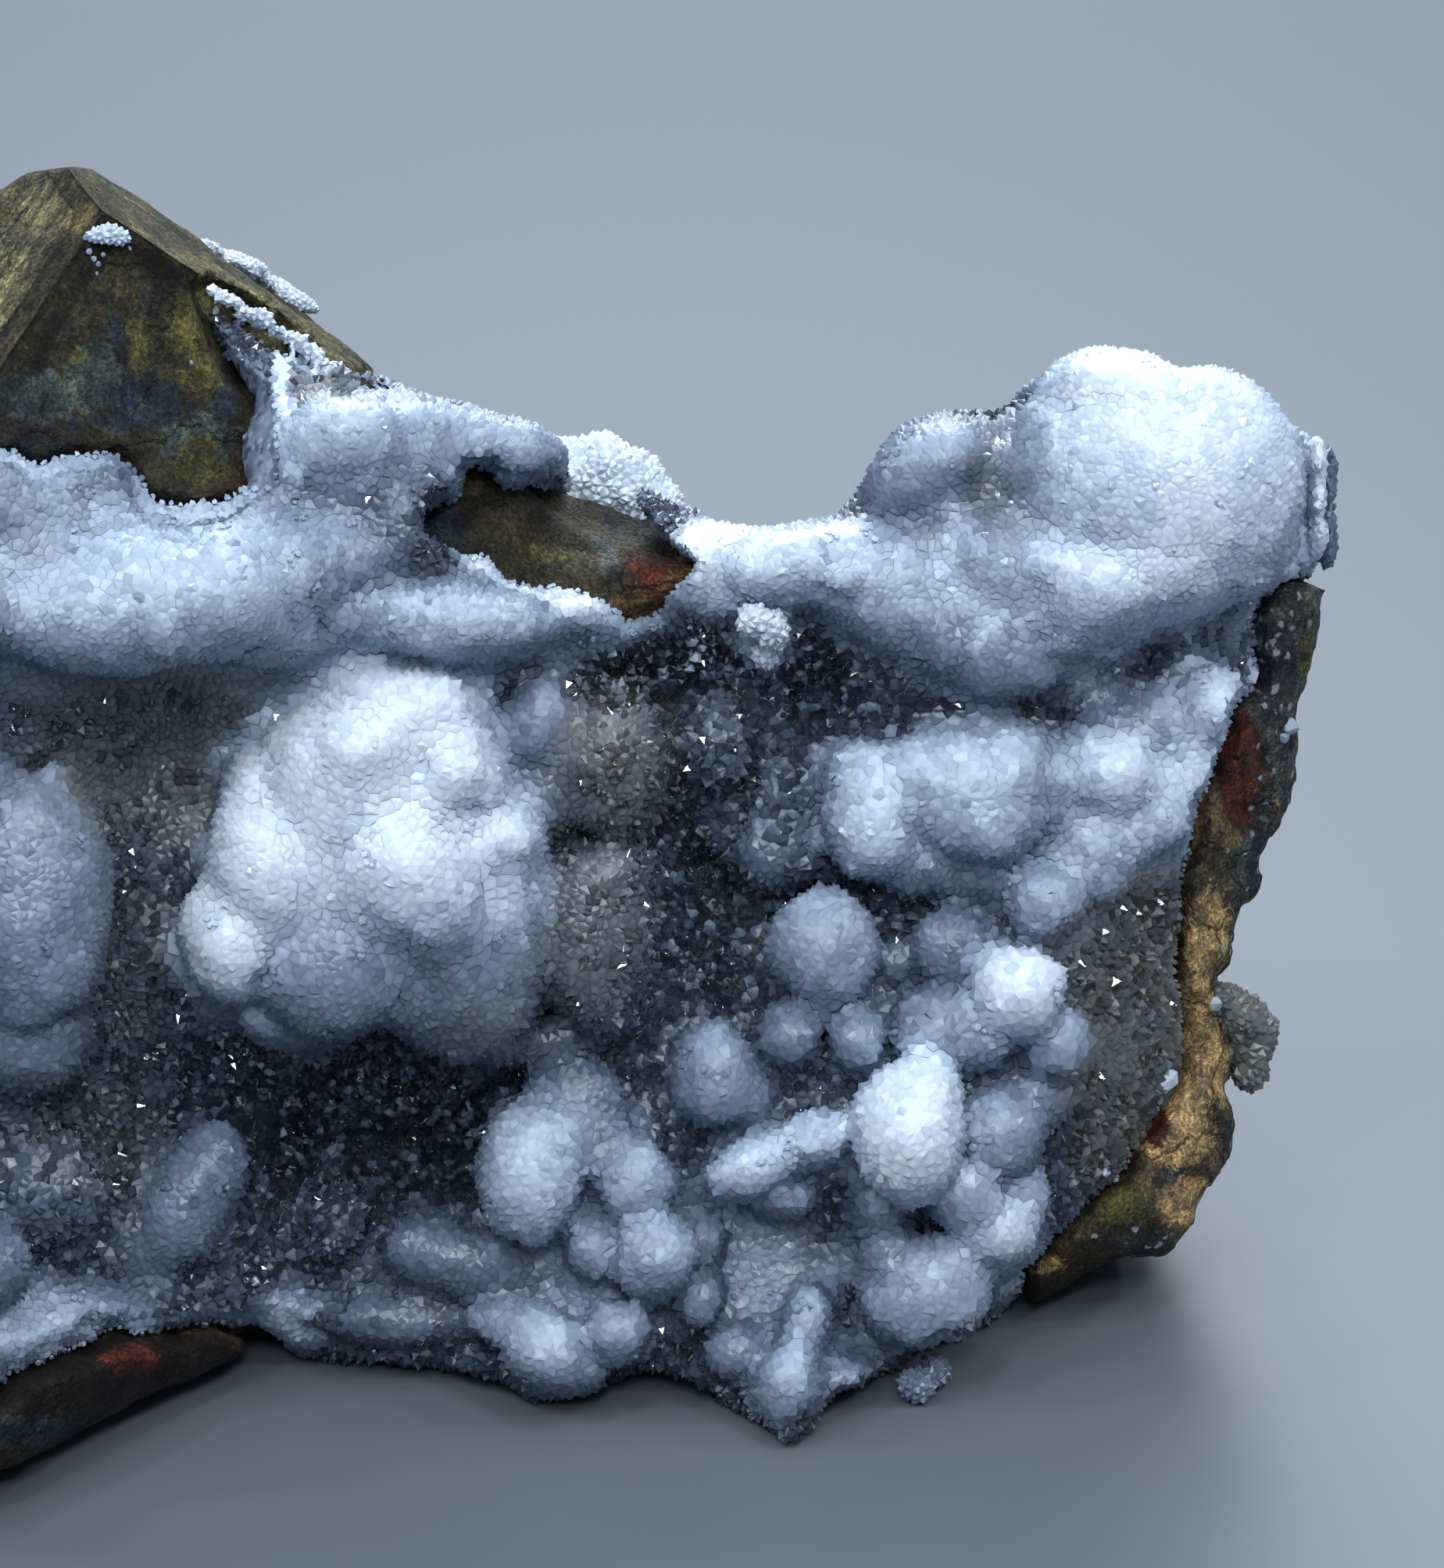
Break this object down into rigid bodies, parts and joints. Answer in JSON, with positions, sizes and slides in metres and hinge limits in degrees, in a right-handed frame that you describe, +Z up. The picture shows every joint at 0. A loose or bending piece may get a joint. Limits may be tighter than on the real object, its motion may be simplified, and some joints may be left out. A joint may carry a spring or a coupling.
{
  "type": "druzy quartz specimen",
  "caption": "Chunk of brown matrix rock with a lumpy crust of sparkling white to grey quartz crystals over its front, standing on a flat underside.",
  "frame": {"origin": "middle of the footprint on the table, at the bottom of the bounding box", "axes": "+Z up, +X along the length of the specimen, -Y towards the side that carries the quartz crust"},
  "size_m": [0.1154, 0.0752, 0.0787],
  "materials": {
    "matrix_rock": "matt broken rock",
    "druzy_quartz_crust": "sparkling crystal faces",
    "back_druse_peak": "sparkling crystal faces",
    "back_druse_ridge": "sparkling crystal faces",
    "side_druse": "sparkling crystal faces",
    "tip_chip": "clear glassy quartz",
    "lower_edge_druse": "sparkling crystal faces",
    "peak_druse_speck": "sparkling crystal faces"
  },
  "bodies": {
    "root": {"matrix_rock": "matrix_rock", "druzy_quartz_crust": "druzy_quartz_crust", "back_druse_peak": "back_druse_peak", "back_druse_ridge": "back_druse_ridge", "side_druse": "side_druse", "tip_chip": "tip_chip", "lower_edge_druse": "lower_edge_druse", "peak_druse_speck": "peak_druse_speck"}
  },
  "joints": []
}
